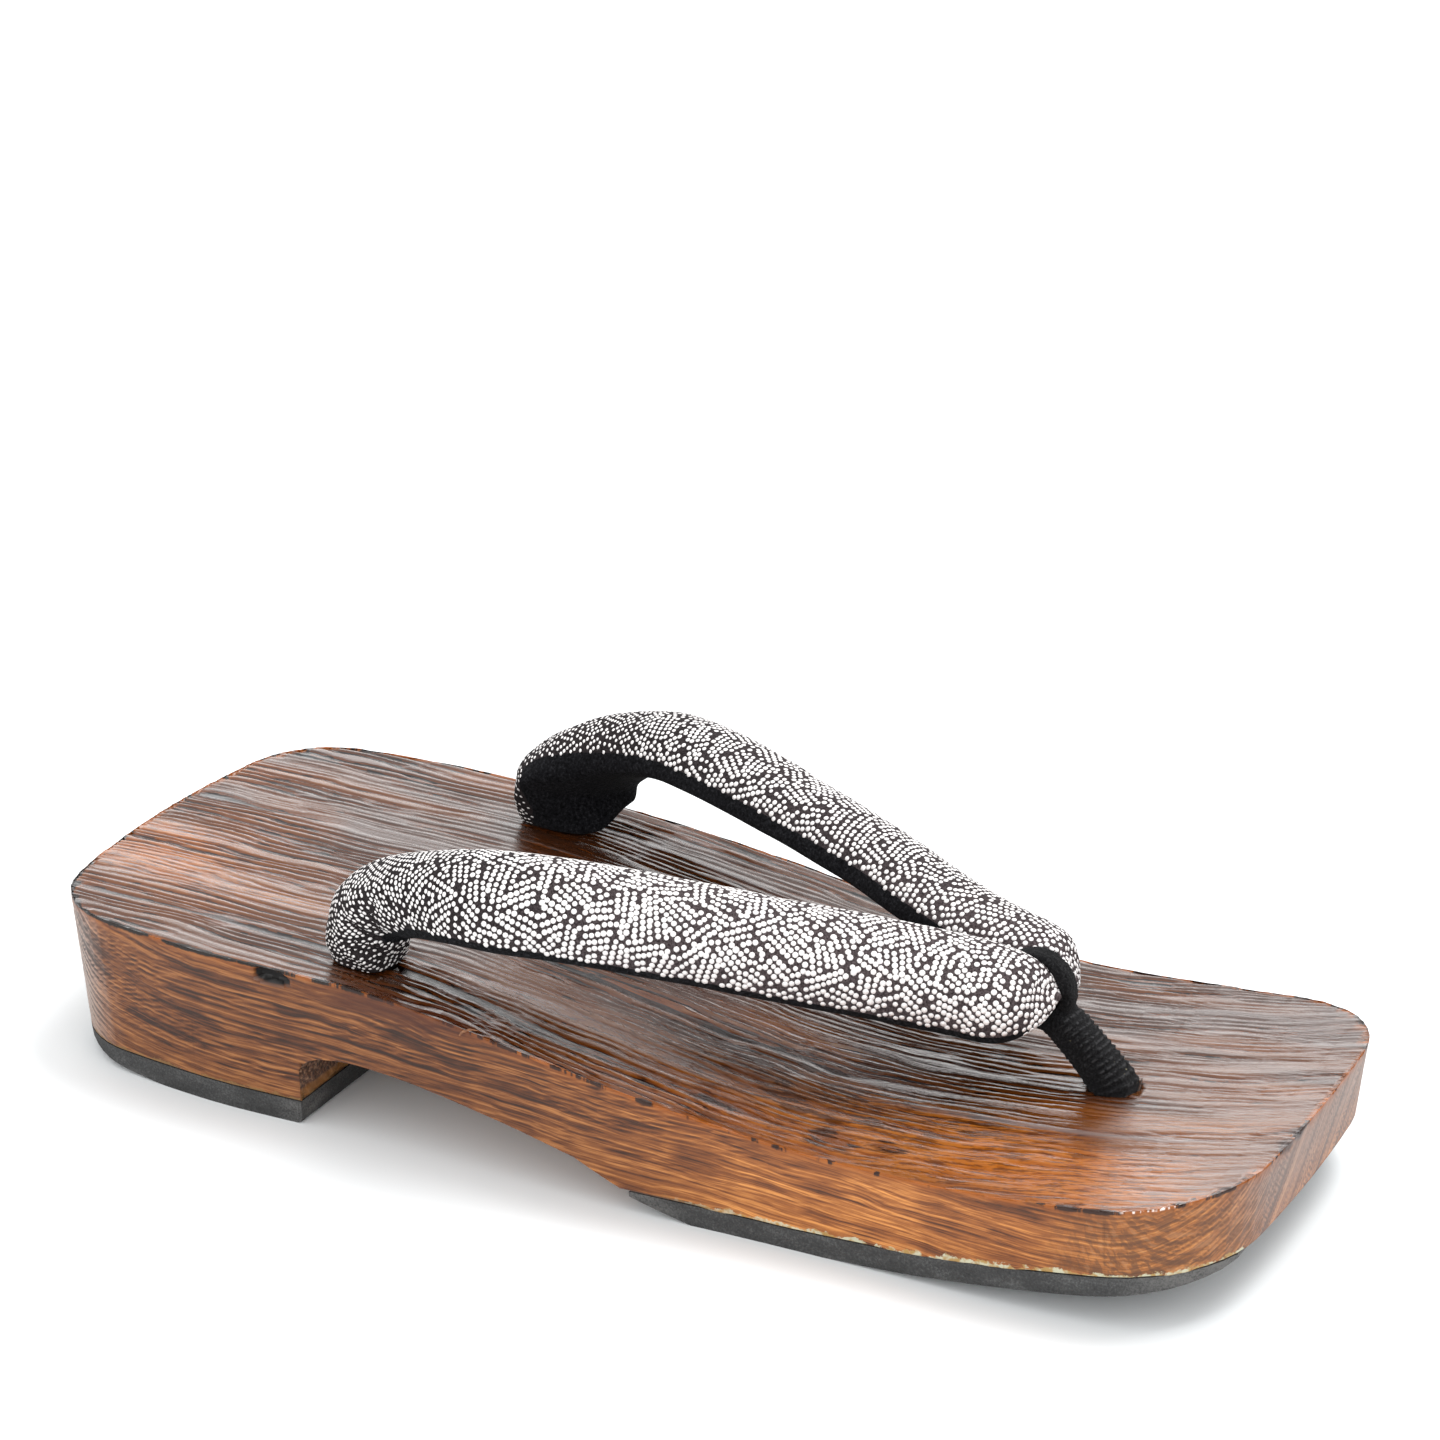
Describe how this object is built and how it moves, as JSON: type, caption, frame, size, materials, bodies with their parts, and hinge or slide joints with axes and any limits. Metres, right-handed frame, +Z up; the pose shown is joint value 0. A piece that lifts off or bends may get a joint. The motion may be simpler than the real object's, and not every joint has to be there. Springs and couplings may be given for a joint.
{
  "type": "geta sandal",
  "caption": "Carved wooden geta sandal with heel block, hollow arch and rising toe, rubber soles under heel and forefoot, and a padded V-shaped thong strap.",
  "frame": {"origin": "on the floor under the middle of the platform's length and width", "axes": "+X towards the toe, +Y to one side, +Z up, floor at z = 0"},
  "size_m": [0.265, 0.1052, 0.0631],
  "materials": {
    "wood": "brushed and scorched straight grain under a thin gloss lacquer",
    "rubber": "matt fine sponge",
    "padded_cloth": "black ground covered with small raised white dots",
    "ribbed_cloth": "matt, soft on the loop and ribbed on the leg"
  },
  "bodies": {
    "root": {"dai": "wood", "heel_sole": "rubber", "forefoot_sole": "rubber", "hanao": "padded_cloth", "maetsubo": "ribbed_cloth"}
  },
  "joints": []
}
